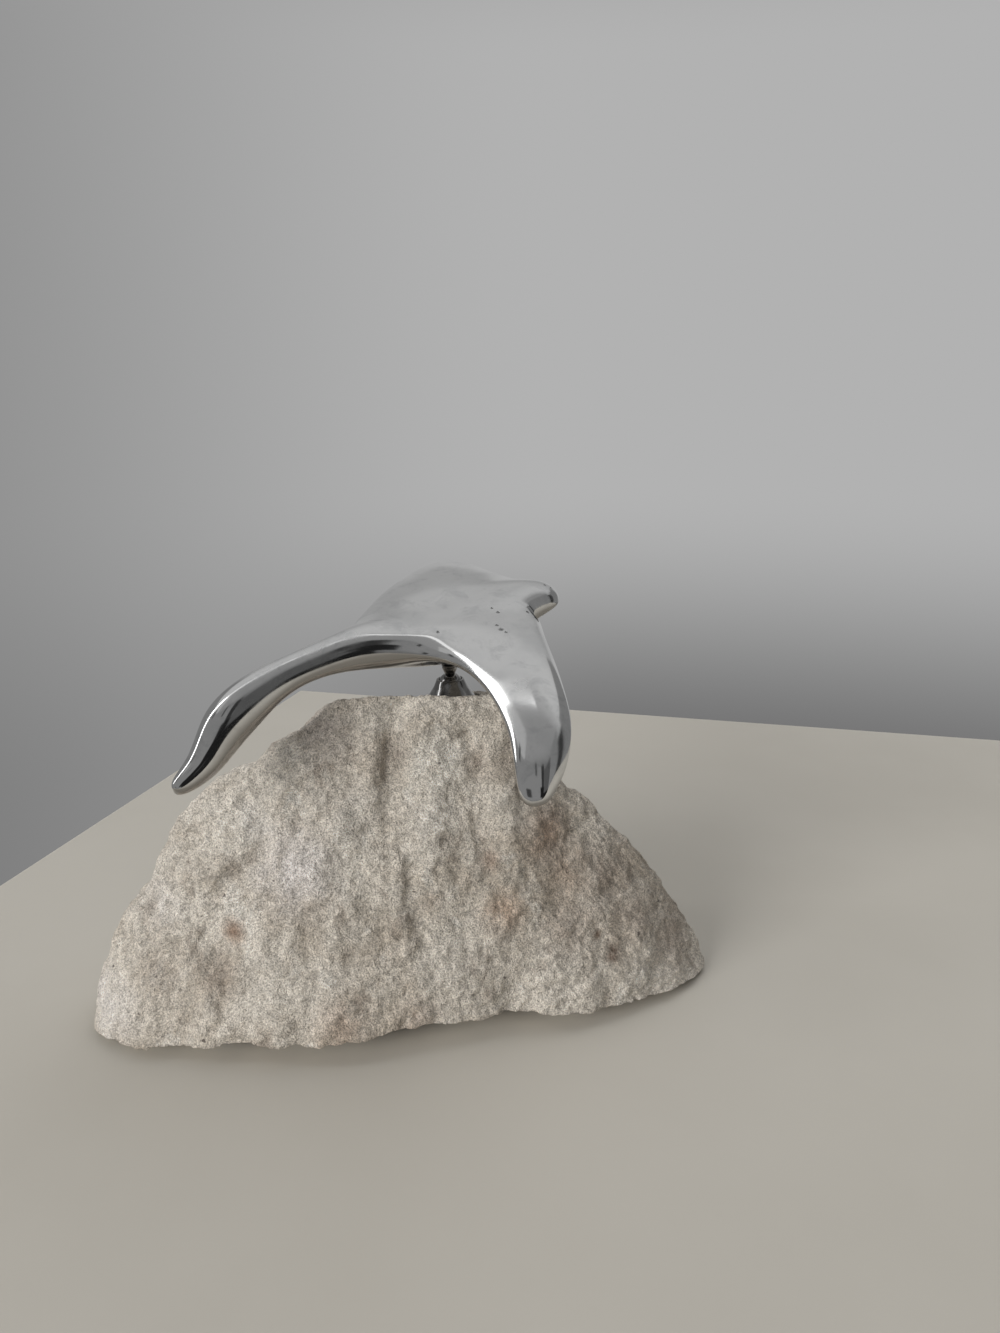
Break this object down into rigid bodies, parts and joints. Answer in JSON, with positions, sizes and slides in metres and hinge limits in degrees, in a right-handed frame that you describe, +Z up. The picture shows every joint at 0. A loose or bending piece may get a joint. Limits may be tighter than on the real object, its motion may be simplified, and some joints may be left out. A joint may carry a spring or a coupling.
{
  "type": "goose_sculpture",
  "caption": "Polished cast goose in flight with drooping wings, held by a ball swivel that tilts and turns on a rough upright stone, to stand on a table.",
  "frame": {"origin": "on the surface that the sculpture stands on, below the middle of the bounding box", "axes": "+X along the stone's length towards the goose's tail side, -Y out of the stone's broad front face, +Z up"},
  "size_m": [0.2192, 0.1412, 0.1499],
  "materials": {
    "cast_aluminium": "polished, with a few small casting pits",
    "stone": "rough and broken, unpolished",
    "dark_chrome": "polished dark plating",
    "nylon": "moulded, matt",
    "steel": "plain zinc-plated",
    "resin": "set adhesive",
    "felt": "pressed felt"
  },
  "bodies": {
    "base": {"stone_base": "stone", "anchor_resin": "resin", "anchor_rod": "steel", "base_plate": "steel", "spring_washer": "steel", "socket_dome": "dark_chrome", "felt_pad_1": "felt", "felt_pad_2": "felt", "felt_pad_3": "felt", "felt_pad_4": "felt"},
    "seat": {"ball_seat": "nylon"},
    "stud": {"ball_stud": "dark_chrome", "stud_washer": "dark_chrome"},
    "goose": {"goose_casting": "cast_aluminium"}
  },
  "joints": [
    {"name": "swivel_azimuth", "type": "hinge", "parent": "base", "child": "seat", "pos_m": [0.0153, -0.0015, 0.1134], "axis": [-0.0349, 0, 0.9994], "range_deg": [-5, 40]},
    {"name": "swivel_tilt", "type": "hinge", "parent": "seat", "child": "stud", "pos_m": [0.0153, -0.0015, 0.1134], "axis": [0.9994, 0, 0.0349], "range_deg": [-12, 12]},
    {"name": "goose_turn", "type": "hinge", "parent": "stud", "child": "goose", "pos_m": [0.0153, -0.0015, 0.1134], "axis": [-0.0686, -0.3064, 0.9494], "range_deg": [-20, 20]}
  ]
}
